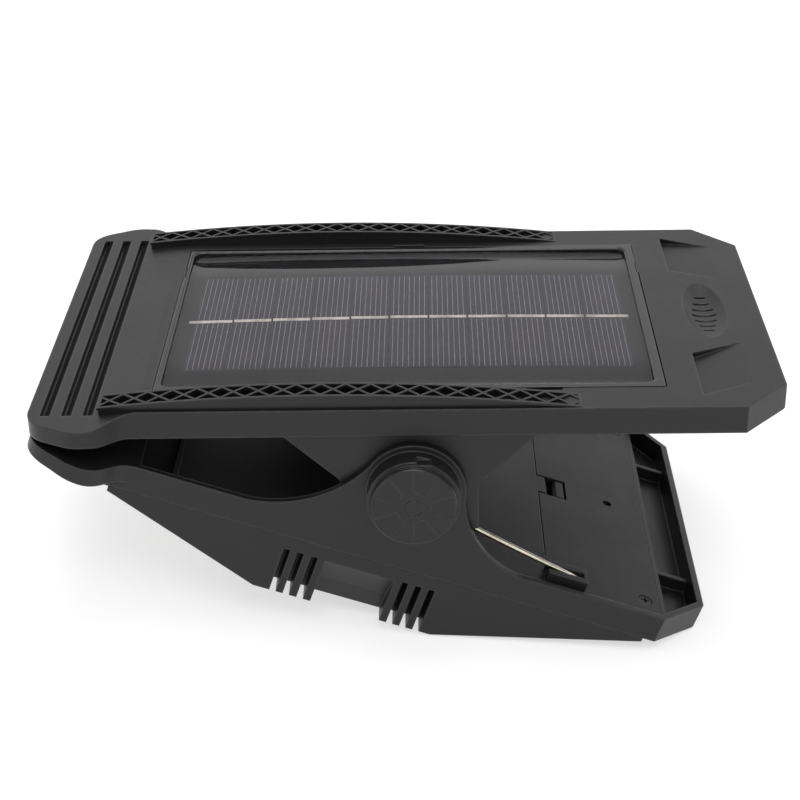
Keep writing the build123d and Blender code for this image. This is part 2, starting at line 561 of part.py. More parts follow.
# ================================================================ cover and battery door
with BuildPart() as cover:
    with BuildSketch(flat(LA, COVER_W - 1.6)):
        with BuildLine():
            Polyline((-9.5, 0), (-9.5, 58.3), (82.8, 58.3), (82.8, 0))
            mirror(about=Plane.XZ)
        make_face()
        with Locations(((DOOR_U0 + DOOR_U1) / 2, 0)):
            Rectangle(DOOR_U1 - DOOR_U0 + 2 * GAP, 2 * DOOR_H + 2 * GAP, mode=Mode.SUBTRACT)
        with Locations((52.0, 0)):
            Rectangle(10.0, 11.0, mode=Mode.SUBTRACT)
    extrude(amount=1.6)
    # ledge under the door
    with BuildSketch(flat(LA, COVER_W - 2.6)):
        with Locations(((DOOR_U0 + DOOR_U1) / 2, 0)):
            Rectangle(DOOR_U1 - DOOR_U0 + 5, 2 * DOOR_H + 5)
            Rectangle(DOOR_U1 - DOOR_U0 - 4, 2 * DOOR_H - 4, mode=Mode.SUBTRACT)
        with Locations((49.0, 0)):
            Rectangle(16, 13, mode=Mode.SUBTRACT)
    extrude(amount=1.0)
    # catches for the lower spring legs
    for s in (1, -1):
        with BuildSketch(flat(LA, COVER_W - 0.1)):
            with Locations((52.6, s * 52.2)):
                Rectangle(12.0, 7.0)
        extrude(amount=3.5)
        with BuildSketch(flat(LA, COVER_W + 0.85)):
            with Locations((51.6, s * 52.2)):
                Rectangle(12.0, 2.6)
        extrude(amount=4, mode=Mode.SUBTRACT)
        with BuildSketch(flat(LA, COVER_W - 2)):
            with Locations((78.3, s * 50.0)):
                Circle(1.35)
        extrude(amount=3, mode=Mode.SUBTRACT)
        with BuildSketch(flat(LA, COVER_W - 0.9)):
            with Locations((78.3, s * 50.0)):
                Circle(2.3)
        extrude(amount=2, mode=Mode.SUBTRACT)
    with BuildSketch(flat(LA, COVER_W - 1.0)):
        with Locations((71.0, 0)):
            Circle(1.5)
    extrude(amount=2, mode=Mode.SUBTRACT)
put(cover.part, "inner_cover_plate")

with BuildPart() as cover_screws:
    for s in (1, -1):
        with BuildSketch(flat(LA, COVER_W - 0.9)):
            with Locations((78.3, s * 50.0)):
                Circle(2.1)
        extrude(amount=0.75)
        with BuildSketch(flat(LA, COVER_W - 6.2)):
            with Locations((78.3, s * 50.0)):
                Circle(1.0)
        extrude(amount=5.4)
        with BuildSketch(flat(LA, COVER_W - 0.6)):
            with Locations((78.3, s * 50.0)):
                Rectangle(2.5, 0.6)
                Rectangle(0.6, 2.5)
        extrude(amount=1, mode=Mode.SUBTRACT)
put(cover_screws.part, "cover_screws")

with BuildPart() as door:
    with BuildSketch(flat(LA, COVER_W - 1.3)):
        with Locations(((DOOR_U0 + DOOR_U1) / 2, 0)):
            Rectangle(DOOR_U1 - DOOR_U0, 2 * DOOR_H)
    extrude(amount=1.3)
    # folded snap tongue in the cover window
    with BuildSketch(side(LA)):
        poly((46.8, -20.6), (46.8, -19.3), (49.9, -19.3), (50.8, -20.1), (50.8, -23.6), (51.9, -24.3),
             (52.9, -23.6), (52.9, -20.6), (53.9, -19.5), (56.3, -19.5), (56.3, -20.3), (54.7, -20.3),
             (54.1, -21.0), (54.1, -24.0), (52.9, -25.2), (50.9, -25.2), (49.7, -24.0), (49.7, -20.6))
    extrude(amount=4.6, both=True)
    # stiffening ribs on the battery side
    with BuildSketch(flat(LA, COVER_W - 2.3)):
        with Locations((34.0, 20), (34.0, -20)):
            Rectangle(16, 1.2)
    extrude(amount=1.05)
put(door.part, "battery_door")

# ================================================================ lamp housing
with BuildPart() as housing:
    with BuildSketch(side(LA)):
        poly((WE_U0, LO_SEAM - 0.25), (WE_U0, WE_W0), (WE_U1, FLAT_W), (WE_U2, FLAT_W), (WE_U3, WE_W3),
             (WE_U3, LO_SEAM - 0.25))
    extrude(amount=BODY_H - 0.3, both=True)
    for u in (WE_U1, WE_U2):
        corner = flat(LA, FLAT_W, u).origin
        fillet(housing.edges().filter_by(Axis.Y).sort_by(lambda e: (e.center() - corner).length)[0], 1.6)
    # cavity, following the outside 2 mm in
    k1 = (FLAT_W - WE_W0) / (WE_U1 - WE_U0)
    with BuildSketch(side(LA)):
        poly((WE_U0 + 2, LO_SEAM + 2), (WE_U0 + 2, WE_W0 + 1.4), (WE_U1 + 0.5, FLAT_W + 2),
             (WE_U2 - 0.6, FLAT_W + 2), (WE_U3 - 2, WE_W3 + 1.3), (WE_U3 - 2, LO_SEAM + 2))
    extrude(amount=50.8, both=True, mode=Mode.SUBTRACT)
    # wider upper storey of the cavity, above the finned flanks
    with BuildSketch(side(LA)):
        poly((WE_U0 + 2, LO_SEAM + 2), (WE_U0 + 2, -28.0), (WE_U3 - 8, -28.0), (WE_U3 - 8, LO_SEAM + 2))
    extrude(amount=55.9, both=True, mode=Mode.SUBTRACT)
    # soft scoops between the two groups of fins on both flanks, and the slots between fins
    for s in (1, -1):
        with BuildSketch(Plane(origin=flat(LA, 0, -16.4).origin, x_dir=(0, s, 0),
                               z_dir=flat(LA).x_dir)) as scoop:
            with BuildLine():
                e = s
                ThreePointArc((60.4, -29.8 * e), (58.3, -33.5 * e), (56.2, -38.0 * e))
                Line((56.2, -38.0 * e), (53.4, -46 * e))
                Line((53.4, -46 * e), (64, -46 * e))
                Line((64, -46 * e), (64, -29.8 * e))
                Line((64, -29.8 * e), (60.4, -29.8 * e))
            make_face()
        extrude(amount=20.8, mode=Mode.SUBTRACT)
        with BuildSketch(flat(LA, FLAT_W - 2)):
            for u0, u1 in ((-28.7, -26.8), (-24.7, -22.8), (-20.6, -18.6), (6.6, 8.5), (10.6, 12.5), (14.6, 16.5)):
                with Locations(((u0 + u1) / 2, s * 58.4)):
                    Rectangle(u1 - u0, 10.0)
        extrude(amount=-29.8 - FLAT_W + 2, mode=Mode.SUBTRACT)
    # windows for the two lenses
    for o, turn, mid, half in (((WE_U1, FLAT_W), -19.95, -23.0, 16.0), ((WE_U2, FLAT_W), 16.6, 29.0, 19.0)):
        pl = side(LA, 0, o[0], o[1], turn)
        pn = Plane(origin=pl.origin - pl.y_dir * 0.6, x_dir=pl.x_dir, z_dir=pl.y_dir)
        with BuildSketch(pn):
            with Locations((mid, 0)):
                RectangleRounded(2 * half - 2.4, 93.6, 2.0)
        extrude(amount=6.6, mode=Mode.SUBTRACT)
        with BuildSketch(pn):
            with Locations((mid, 0)):
                RectangleRounded(2 * half + 0.1, 96.1, 2.5)
        extrude(amount=1.95, mode=Mode.SUBTRACT)
    # bores for the motion sensor dome and the mode button
    with BuildSketch(flat(LA, FLAT_W - 1)):
        with Locations((-8.0, 0)):
            Circle(9.15)
        with Locations((-8.0, 30)):
            Circle(4.4)
    extrude(amount=6, mode=Mode.SUBTRACT)
    # screw posts
    for u, y, w0 in ((-56.0, 52.5, -34.0), (67.0, 52.5, -29.0)):
        for s in (1, -1):
            with BuildSketch(flat(LA, w0)):
                with Locations((u, s * y)):
                    Circle(3.0)
            extrude(amount=LO_SEAM - w0)
            with BuildSketch(flat(LA, LO_SEAM - 3.2)):
                with Locations((u, s * y)):
                    Circle(1.05)
            extrude(amount=6, mode=Mode.SUBTRACT)
put(housing.part, "lamp_housing")
print("housing solids", len(housing.part.solids()))

with BuildPart() as gasket:
    with BuildSketch(flat(LA, LO_SEAM - 0.25)):
        with Locations(((WE_U0 + WE_U3 - 6) / 2 + 0.5, 0)):
            RectangleRounded(WE_U3 - 6 - WE_U0 - 1.6, 115.6, 3.0)
            RectangleRounded(WE_U3 - 6 - WE_U0 - 4.2, 112.6, 2.0, mode=Mode.SUBTRACT)
        for u, y in ((-56.0, 52.5), (67.0, 52.5)):
            for s in (1, -1):
                with Locations((u, s * y)):
                    Circle(3.1, mode=Mode.SUBTRACT)
    extrude(amount=0.25)
put(gasket.part, "housing_gasket")

with BuildPart() as housing_screws:
    for u in (-56.0, 67.0):
        for s in (1, -1):
            with BuildSketch(flat(LA, LO_SEAM + WALL)):
                with Locations((u, s * 52.5)):
                    Circle(2.1)
            extrude(amount=1.2)
            with BuildSketch(flat(LA, LO_SEAM - 3.0)):
                with Locations((u, s * 52.5)):
                    Circle(1.0)
            extrude(amount=3.0 + WALL + 0.05)
            with BuildSketch(flat(LA, LO_SEAM + WALL + 0.6)):
                with Locations((u, s * 52.5)):
                    Rectangle(2.5, 0.6)
                    Rectangle(0.6, 2.5)
            extrude(amount=1, mode=Mode.SUBTRACT)
put(housing_screws.part, "housing_screws")

# lenses, LED boards and LEDs on the two slopes
for nm, o, turn, mid, half, count in (("front", (WE_U1, FLAT_W), -19.95, -23.0, 16.0, 4),
                                      ("rear", (WE_U2, FLAT_W), 16.6, 29.0, 19.0, 4)):
    pl = side(LA, 0, o[0], o[1], turn)

    def slope(h):
        return Plane(origin=pl.origin + pl.y_dir * h, x_dir=pl.x_dir, z_dir=pl.y_dir)

    with BuildPart() as lens:
        with BuildSketch(slope(0.25)):
            with Locations((mid, 0)):
                RectangleRounded(2 * half, 96.0, 2.4)
        extrude(amount=1.1)
        with BuildSketch(slope(1.3)):
            with Locations((mid, 0)):
                RectangleRounded(2 * half - 2.6, 93.4, 1.9)
        extrude(amount=0.6)
    put(lens.part, "lens_" + nm)
    with BuildPart() as board:
        with BuildSketch(slope(4.4)):
            with Locations((mid + (2.5 if nm == "rear" else 0), 0)):
                Rectangle(2 * half - (9 if nm == "rear" else 6), 88.0)
        extrude(amount=1.2)
    put(board.part, "led_board_" + nm)
    with BuildPart() as leds:
        with BuildSketch(slope(3.55)):
            with Locations((mid + (2.5 if nm == "rear" else 0), 0)):
                with GridLocations(7.0, 10.4, 3, 8):
                    Rectangle(2.8, 3.5)
        extrude(amount=0.85)
    put(leds.part, "leds_" + nm)

# circuit board, sensor, dome, switch, button
with BuildPart() as pcb:
    with BuildSketch(flat(LA, -31.6)):
        with Locations((-21.0, 0)):
            Rectangle(48.0, 84.0)
    extrude(amount=1.6)
put(pcb.part, "main_circuit_board")

with BuildPart() as chips:
    with BuildSketch(flat(LA, -30.0)):
        for u, y, a, b in ((-30, -20, 8, 10), (-14, -22, 6, 6), (-28, 12, 5, 12), (-12, 18, 4, 4), (-36, 30, 6, 3)):
            with Locations((u, y)):
                Rectangle(a, b)
    extrude(amount=1.6)
    with BuildSketch(flat(LA, -30.0)):
        for u, y in ((-8, -34), (-38, -2)):
            with Locations((u, y)):
                Circle(2.5)
    extrude(amount=3.8)
put(chips.part, "board_components")

with BuildPart() as pir:
    with BuildSketch(flat(LA, -36.0)):
        with Locations((-8.0, 0)):
            Circle(4.1)
    extrude(amount=4.4)
    with BuildSketch(flat(LA, -32.4)):
        with Locations((-8.0, 0)):
            Circle(4.6)
    extrude(amount=0.8)
    with BuildSketch(flat(LA, -36.2)):
        with Locations((-8.0, 0)):
            Rectangle(3.0, 4.0)
    extrude(amount=0.25)
put(pir.part, "pir_sensor")

with BuildPart() as dome:
    with Locations(Location(flat(LA, -41.9, -8.0))):
        Sphere(9.0, arc_size1=-90, arc_size2=0)
        Sphere(8.0, arc_size1=-90, arc_size2=0, mode=Mode.SUBTRACT)
    with BuildSketch(flat(LA, -41.9)):
        with Locations((-8.0, 0)):
            Circle(10.9)
            Circle(8.0, mode=Mode.SUBTRACT)
    extrude(amount=0.9)
put(dome.part, "pir_dome")

with BuildPart() as tact:
    with BuildSketch(flat(LA, -35.0)):
        with Locations((-8.0, 30)):
            Rectangle(6.0, 6.0)
    extrude(amount=3.4)
    with BuildSketch(flat(LA, -35.6)):
        with Locations((-8.0, 30)):
            Circle(1.7)
    extrude(amount=0.7)
put(tact.part, "tact_switch")

with BuildPart() as button:
    with BuildSketch(flat(LA, FLAT_W - 0.6)):
        with Locations((-8.0, 30)):
            Circle(4.1)
    extrude(amount=2.6)
    fillet(button.edges().filter_by(GeomType.CIRCLE).sort_by(Axis.Z)[0], 0.5)
    with BuildSketch(flat(LA, FLAT_W + 1.9)):
        with Locations((-8.0, 30)):
            Circle(3.9)
    extrude(amount=0.6)
    with BuildSketch(flat(LA, FLAT_W + 2.3)):
        with Locations((-8.0, 30)):
            Circle(5.2)
    extrude(amount=0.8)
    with BuildSketch(flat(LA, FLAT_W + 3.0)):
        with Locations((-8.0, 30)):
            Circle(1.5)
    extrude(amount=-36.8 - FLAT_W - 3.0)
put(button.part, "mode_button")

# battery with its cradle and contacts
BAT_U, BAT_W = 18.5, -33.3
with BuildPart() as cell:
    with BuildSketch(side(LA, 32.5, BAT_U, BAT_W)):
        Circle(9.1)
    extrude(amount=65)
    fillet(cell.edges(), 0.8)
    with BuildSketch(side(LA, -32.4, BAT_U, BAT_W)):
        Circle(3.0)
    extrude(amount=1.2)
put(cell.part, "battery_cell")

with BuildPart() as contacts:
    for s in (1, -1):
        with BuildSketch(side(LA, 36.4 if s > 0 else -35.9, BAT_U, BAT_W)):
            RectangleRounded(12.0, 13.0, 1.5)
        extrude(amount=0.5)
    with BuildSketch(side(LA, -33.65, BAT_U, BAT_W)):
        Circle(4.0)
    extrude(amount=2.3, taper=0)
    with BuildSketch(side(LA, 36.0, BAT_U, BAT_W)):
        Circle(5.0)
        Circle(3.9, mode=Mode.SUBTRACT)
    extrude(amount=1.2)
    with BuildSketch(side(LA, 34.9, BAT_U, BAT_W)):
        Circle(4.2)
        Circle(3.1, mode=Mode.SUBTRACT)
    extrude(amount=1.2)
    with BuildSketch(side(LA, 33.8, BAT_U, BAT_W)):
        Circle(3.4)
        Circle(2.3, mode=Mode.SUBTRACT)
    extrude(amount=1.2)
put(contacts.part, "battery_contacts")

with BuildPart() as cradle:
    # end walls joined by two rails under the cell
    for s in (1, -1):
        with BuildSketch(side(LA, 38.1 if s > 0 else -36.5, BAT_U, BAT_W)):
            with BuildLine():
                Polyline((-9.0, 9.5), (-9.0, -4.0), (-5.5, -9.0), (0.5, -9.0), (8.6, -6.6), (8.6, 9.5), (-9.0, 9.5))
            make_face()
        extrude(amount=1.6)
    with BuildSketch(side(LA, 37.0, BAT_U, BAT_W)):
        poly((-9.0, -3.8), (-9.0, -5.2), (-6.2, -9.0), (-5.0, -9.0), (-5.0, -8.0))
    extrude(amount=74)
put(cradle.part, "battery_cradle")

with BuildPart() as lower_pad:
    with BuildSketch(flat(LA, LO_EDGE)):
        with Locations((-96.4, 0)):
            RectangleRounded(13.0, 108, 2.0)
    extrude(amount=0.8)
    with BuildSketch(flat(LA, LO_EDGE + 0.35)):
        for i in range(5):
            with Locations((-101.0 + i * 2.3, 0)):
                Rectangle(0.9, 102)
    extrude(amount=1.0, mode=Mode.SUBTRACT)
put(lower_pad.part, "lower_grip_pad")
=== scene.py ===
"""Looks of the clamp-on solar lamp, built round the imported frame. Metres, row frame."""
import math
import bpy, bmesh
from mathutils import Matrix, Vector


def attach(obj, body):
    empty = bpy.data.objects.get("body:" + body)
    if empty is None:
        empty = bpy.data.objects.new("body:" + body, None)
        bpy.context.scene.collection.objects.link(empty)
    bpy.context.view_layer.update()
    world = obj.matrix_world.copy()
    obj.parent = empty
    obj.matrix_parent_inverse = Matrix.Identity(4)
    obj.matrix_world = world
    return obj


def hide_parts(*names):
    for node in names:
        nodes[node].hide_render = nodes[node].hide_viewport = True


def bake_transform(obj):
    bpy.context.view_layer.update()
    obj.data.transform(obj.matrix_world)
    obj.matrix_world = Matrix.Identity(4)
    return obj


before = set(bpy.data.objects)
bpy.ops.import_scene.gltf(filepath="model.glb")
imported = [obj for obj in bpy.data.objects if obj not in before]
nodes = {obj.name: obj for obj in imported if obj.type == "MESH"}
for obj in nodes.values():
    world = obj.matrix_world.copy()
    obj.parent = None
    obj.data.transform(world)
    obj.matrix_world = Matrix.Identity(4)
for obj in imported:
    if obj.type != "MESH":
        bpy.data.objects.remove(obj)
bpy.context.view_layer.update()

# ------------------------------------------------------------------ frame numbers, as in the CAD
PX, PZ = 2.99, 48.26
UA, LA = math.radians(5.45), math.radians(-14.05)


def pt(a, u, w, y=0.0):
    """Point at (u, w) of the jaw tilted by a, in metres."""
    return Vector((PX + u * math.cos(a) - w * math.sin(a), y, PZ + u * math.sin(a) + w * math.cos(a))) / 1000.0


def basis(a):
    """Rotation taking jaw directions (u, y, w) to the row frame."""
    return Matrix.Rotation(-a, 3, "Y")


# ------------------------------------------------------------------ material helpers
class Mat:
    def __init__(self, name):
        self.m = bpy.data.materials.new(name)
        self.m.use_nodes = True
        self.t = self.m.node_tree
        self.b = self.t.nodes["Principled BSDF"]
        self.co = self.t.nodes.new("ShaderNodeTexCoord").outputs["Object"]

    def n(self, kind, **kw):
        x = self.t.nodes.new(kind)
        for k, v in kw.items():
            if k.startswith("_"):
                setattr(x, k[1:], v)
            else:
                x.inputs[k.replace("_", " ")].default_value = v
        return x

    def l(self, a, b):
        self.t.links.new(a, b)

    def noise(self, scale, detail=3.0, rough=0.5, distort=0.0, co=None):
        x = self.n("ShaderNodeTexNoise", Scale=scale, Detail=detail, Roughness=rough, Distortion=distort)
        self.l(co or self.co, x.inputs["Vector"])
        return x.outputs["Fac"]

    def ramp(self, fac, lo, hi, a=0.0, b=1.0):
        x = self.n("ShaderNodeMapRange")
        x.inputs["From Min"].default_value, x.inputs["From Max"].default_value = lo, hi
        x.inputs["To Min"].default_value, x.inputs["To Max"].default_value = a, b
        self.l(fac, x.inputs["Value"])
        return x.outputs["Result"]

    def mix(self, fac, c1, c2):
        x = self.n("ShaderNodeMix", _data_type="RGBA")
        for sock, c in ((6, c1), (7, c2)):
            if isinstance(c, (tuple, list)):
                x.inputs[sock].default_value = (*c, 1.0) if len(c) == 3 else c
            else:
                self.l(c, x.inputs[sock])
        if isinstance(fac, float):
            x.inputs[0].default_value = fac
        else:
            self.l(fac, x.inputs[0])
        return x.outputs[2]

    def math(self, op, a, b=0.5):
        x = self.n("ShaderNodeMath", _operation=op)
        for i, v in enumerate((a, b)):
            if isinstance(v, (int, float)):
                x.inputs[i].default_value = v
            else:
                self.l(v, x.inputs[i])
        return x.outputs[0]

    def bump(self, height, dist, strength=1.0, normal=None):
        x = self.n("ShaderNodeBump", Strength=strength, Distance=dist)
        self.l(height, x.inputs["Height"])
        if normal is not None:
            self.l(normal, x.inputs["Normal"])
        return x.outputs["Normal"]

    def round_edges(self, radius):
        x = self.n("ShaderNodeBevel", _samples=6, Radius=radius)
        return x.outputs["Normal"]

    def edge_mask(self, radius):
        """1 near sharp edges, 0 on open faces."""
        bev = self.n("ShaderNodeBevel", _samples=6, Radius=radius)
        geo = self.n("ShaderNodeNewGeometry")
        d = self.n("ShaderNodeVectorMath", _operation="DOT_PRODUCT")
        self.l(bev.outputs["Normal"], d.inputs[0])
        self.l(geo.outputs["Normal"], d.inputs[1])
        return self.ramp(d.outputs["Value"], 0.995, 0.93)


def moulded(name, base, wear_highlight_colour, rough=(0.42, 0.55), grain=0.000012, radius=0.00045, coat=0.0, spec=0.5, scuff=0.5):
    """Moulded plastic: spark-eroded grain, faint flow marks, edges lightened partly as rubbed wear and partly as
    painted highlight, fine scuffs.
    """
    m = Mat(name)
    flow = m.noise(38, 3, 0.55)
    fine = m.noise(2300, 2, 0.6)
    mid = m.noise(420, 3, 0.6)
    stretch = m.n("ShaderNodeMapping")
    stretch.inputs["Scale"].default_value = (40, 900, 300)
    stretch.inputs["Rotation"].default_value = (0.0, 0.1, 0.5)
    m.l(m.co, stretch.inputs["Vector"])
    scratch = m.ramp(m.noise(2.2, 4, 0.7, 0.6, stretch.outputs["Vector"]), 0.66, 0.74)
    # edge mask: edges are painted lighter, partly for rubbed wear and partly as painted highlight on the rounded edges
    edge = m.edge_mask(radius * 1.6)
    edge_wear_highlight = m.math("MULTIPLY", edge, m.ramp(mid, 0.35, 0.65, 0.35, 1.0))
    c = m.mix(m.ramp(flow, 0.3, 0.7), base, tuple(min(1, v * 1.16) for v in base))
    c = m.mix(m.math("MULTIPLY", m.ramp(fine, 0.35, 0.75), 0.35), c, tuple(v * 1.5 for v in base))
    # painted highlight and wear: lighter colour along the edges
    c = m.mix(m.math("MULTIPLY", edge_wear_highlight, 0.75), c, wear_highlight_colour)
    c = m.mix(m.math("MULTIPLY", scratch, 0.10 * scuff), c, wear_highlight_colour)
    m.l(c, m.b.inputs["Base Color"])
    r = m.ramp(m.math("ADD", m.math("MULTIPLY", flow, 0.6), m.math("MULTIPLY", mid, 0.4)), 0.3, 0.7, rough[0], rough[1])
    r = m.math("SUBTRACT", r, m.math("MULTIPLY", edge_wear_highlight, 0.08))
    r = m.math("ADD", r, m.math("MULTIPLY", scratch, 0.06 * scuff))
    m.l(r, m.b.inputs["Roughness"])
    h = m.math("ADD", m.math("MULTIPLY", fine, 1.0), m.math("MULTIPLY", mid, 0.5))
    h = m.math("SUBTRACT", h, m.math("MULTIPLY", scratch, 0.5 * scuff))
    m.l(m.bump(h, grain, 1.0, m.round_edges(radius)), m.b.inputs["Normal"])
    m.b.inputs["Specular IOR Level"].default_value = spec
    m.b.inputs["Coat Weight"].default_value = coat
    m.b.inputs["Coat Roughness"].default_value = 0.08
    return m.m


def metal(name, base, dark, rough=(0.2, 0.38), along=(1, 1, 1), scale=900, radius=0.00015, bump=0.000006):
    m = Mat(name)
    mp = m.n("ShaderNodeMapping")
    mp.inputs["Scale"].default_value = along
    m.l(m.co, mp.inputs["Vector"])
    streak = m.noise(scale, 4, 0.6, 0.0, mp.outputs["Vector"])
    blotch = m.noise(160, 3, 0.6)
    c = m.mix(m.ramp(blotch, 0.42, 0.72), base, dark)
    c = m.mix(m.math("MULTIPLY", m.ramp(streak, 0.4, 0.7), 0.35), c, dark)
    m.l(c, m.b.inputs["Base Color"])
    m.b.inputs["Metallic"].default_value = 1.0
    m.l(m.ramp(m.math("ADD", m.math("MULTIPLY", streak, 0.5), m.math("MULTIPLY", blotch, 0.5)), 0.3, 0.7, rough[0], rough[1]),
        m.b.inputs["Roughness"])
    m.l(m.bump(streak, bump, 1.0, m.round_edges(radius)), m.b.inputs["Normal"])
    return m.m


def rubber(name, base, wear_highlight_colour):
    m = Mat(name)
    fine = m.noise(1500, 3, 0.65)
    blot = m.noise(120, 3, 0.6)
    c = m.mix(m.ramp(blot, 0.35, 0.7), base, tuple(v * 1.35 for v in base))
    # edges painted lighter: partly rubbed wear, partly painted highlight
    c = m.mix(m.math("MULTIPLY", m.edge_mask(0.0003), 0.5), c, wear_highlight_colour)
    m.l(c, m.b.inputs["Base Color"])
    m.l(m.ramp(blot, 0.3, 0.7, 0.68, 0.85), m.b.inputs["Roughness"])
    m.l(m.bump(fine, 0.00004, 1.0, m.round_edges(0.0003)), m.b.inputs["Normal"])
    m.b.inputs["Specular IOR Level"].default_value = 0.35
    return m.m


def clear(name, tint, rough=(0.05, 0.12), trans=1.0, bump=0.00002, scale=700):
    m = Mat(name)
    blot = m.noise(90, 3, 0.6)
    fine = m.noise(scale, 2, 0.5)
    m.l(m.mix(m.ramp(blot, 0.3, 0.7), tint, tuple(v * 0.94 for v in tint)), m.b.inputs["Base Color"])
    m.l(m.ramp(blot, 0.3, 0.7, rough[0], rough[1]), m.b.inputs["Roughness"])
    m.b.inputs["Transmission Weight"].default_value = trans
    m.b.inputs["IOR"].default_value = 1.49
    m.l(m.bump(fine, bump, 1.0, m.round_edges(0.0002)), m.b.inputs["Normal"])
    return m.m


BLACK = (0.0062, 0.0060, 0.0058)
# edge colour: used for rubbed wear and scuffs, and also as painted highlight along the edges
WORN_AND_HIGHLIGHT = (0.040, 0.039, 0.038)
M = {}
M["shell"] = moulded("shell_plastic", BLACK, WORN_AND_HIGHLIGHT, (0.34, 0.45), spec=0.36, radius=0.0006)
M["cover"] = moulded("cover_plastic", (0.0095, 0.0092, 0.0088), WORN_AND_HIGHLIGHT, (0.40, 0.52), radius=0.0004, spec=0.36)
M["hub"] = moulded("hub_plastic", (0.0056, 0.0054, 0.0052), WORN_AND_HIGHLIGHT, (0.26, 0.36), radius=0.0004, spec=0.36)
M["strap"] = moulded("strap_plastic", (0.0055, 0.0053, 0.0051), WORN_AND_HIGHLIGHT, (0.32, 0.42), radius=0.0002, spec=0.36)
M["tray"] = moulded("tray_plastic", (0.0050, 0.0049, 0.0048), (0.03, 0.03, 0.03), (0.14, 0.22), grain=0.000002, radius=0.0004, spec=0.5, scuff=0.8)
M["housing"] = moulded("housing_plastic", BLACK, WORN_AND_HIGHLIGHT, (0.36, 0.48), spec=0.36, radius=0.0005)

# laminate: black backing under a clear polished layer
m = Mat("panel_laminate")
blot = m.noise(30, 3, 0.5)
m.l(m.mix(m.ramp(blot, 0.35, 0.65), (0.010, 0.0105, 0.012), (0.016, 0.0162, 0.0175)), m.b.inputs["Base Color"])
m.l(m.ramp(m.noise(300, 3, 0.6), 0.3, 0.7, 0.10, 0.17), m.b.inputs["Roughness"])
m.l(m.bump(m.noise(45, 2, 0.5), 0.00003, 1.0, m.round_edges(0.0003)), m.b.inputs["Normal"])
m.b.inputs["Specular IOR Level"].default_value = 0.1
M["laminate"] = m.m

# silicon: blue-black wafer with crystal mottling
m = Mat("silicon_cell")
tone = m.ramp(m.math("ADD", m.math("MULTIPLY", m.noise(60, 2, 0.5), 0.4), m.math("MULTIPLY", m.noise(14, 3, 0.6), 0.6)), 0.40, 0.62)
m.l(m.mix(tone, (0.022, 0.019, 0.024), (0.034, 0.027, 0.033)), m.b.inputs["Base Color"])
m.l(m.ramp(m.noise(200, 3, 0.6), 0.3, 0.7, 0.30, 0.42), m.b.inputs["Roughness"])
m.l(m.bump(m.noise(1800, 2, 0.6), 0.000003, 1.0), m.b.inputs["Normal"])
m.b.inputs["Specular IOR Level"].default_value = 0.12
M["silicon"] = m.m

# silver print of the fingers
m = Mat("finger_print")
m.l(m.mix(m.ramp(m.noise(500, 3, 0.6), 0.35, 0.65), (0.42, 0.43, 0.50), (0.22, 0.23, 0.30)), m.b.inputs["Base Color"])
m.b.inputs["Metallic"].default_value = 0.2
m.l(m.ramp(m.noise(800, 2, 0.5), 0.3, 0.7, 0.3, 0.45), m.b.inputs["Roughness"])
m.l(m.bump(m.noise(3000, 2, 0.6), 0.000004), m.b.inputs["Normal"])
M["finger"] = m.m

M["ribbon"] = metal("tinned_ribbon", (0.82, 0.78, 0.70), (0.36, 0.33, 0.28), (0.28, 0.5), (6, 1, 1), 260, 0.00008, 0.00003)
M["spring"] = metal("spring_wire", (0.78, 0.73, 0.65), (0.42, 0.38, 0.32), (0.16, 0.30), (1, 1, 1), 1200, 0.0001, 0.000004)
M["steel"] = metal("drawn_steel", (0.66, 0.66, 0.67), (0.34, 0.34, 0.35), (0.22, 0.4), (1, 30, 1), 60, 0.00015, 0.000005)
M["nickel"] = metal("nickel_strip", (0.74, 0.71, 0.64), (0.45, 0.42, 0.36), (0.22, 0.38), (1, 12, 1), 120, 0.00015, 0.000006)
M["screw"] = metal("black_oxide", (0.050, 0.049, 0.048), (0.02, 0.02, 0.02), (0.3, 0.46), (1, 1, 1), 900, 0.00012, 0.00001)
M["pad"] = rubber("pad_rubber", (0.018, 0.018, 0.018), (0.06, 0.06, 0.06))
M["gasket"] = rubber("gasket_rubber", (0.16, 0.16, 0.16), (0.25, 0.25, 0.25))
# poured resin over the cells: glassy, with a faint orange-peel surface
m = Mat("panel_resin")
blot = m.noise(24, 3, 0.5)
m.l(m.mix(m.ramp(blot, 0.3, 0.7), (0.96, 0.955, 0.97), (0.90, 0.89, 0.92)), m.b.inputs["Base Color"])
m.l(m.ramp(m.noise(160, 3, 0.6), 0.3, 0.7, 0.015, 0.05), m.b.inputs["Roughness"])
m.b.inputs["Transmission Weight"].default_value = 1.0
m.b.inputs["IOR"].default_value = 1.35
m.l(m.bump(m.noise(22, 2, 0.5), 0.00002, 1.0), m.b.inputs["Normal"])
M["resin"] = m.m
# where the resin is bonded to the cells there is almost no step in index, so no second reflection
m = Mat("resin_bond")
m.l(m.mix(m.ramp(m.noise(24, 3, 0.5), 0.3, 0.7), (0.97, 0.965, 0.98), (0.93, 0.92, 0.95)), m.b.inputs["Base Color"])
m.l(m.ramp(m.noise(160, 3, 0.6), 0.3, 0.7, 0.0, 0.01), m.b.inputs["Roughness"])
m.b.inputs["Transmission Weight"].default_value = 1.0
m.b.inputs["IOR"].default_value = 1.02
m.l(m.bump(m.noise(30, 2, 0.5), 0.00001, 1.0), m.b.inputs["Normal"])
M["resin_bond"] = m.m
M["lens"] = clear("lens_clear", (0.93, 0.94, 0.94), (0.10, 0.20))
M["dome"] = clear("dome_milky", (0.88, 0.88, 0.85), (0.30, 0.42), 0.35, 0.00003, 900)
M["board_w"] = moulded("board_white", (0.72, 0.72, 0.70), (0.8, 0.8, 0.78), (0.32, 0.42), radius=0.0001)
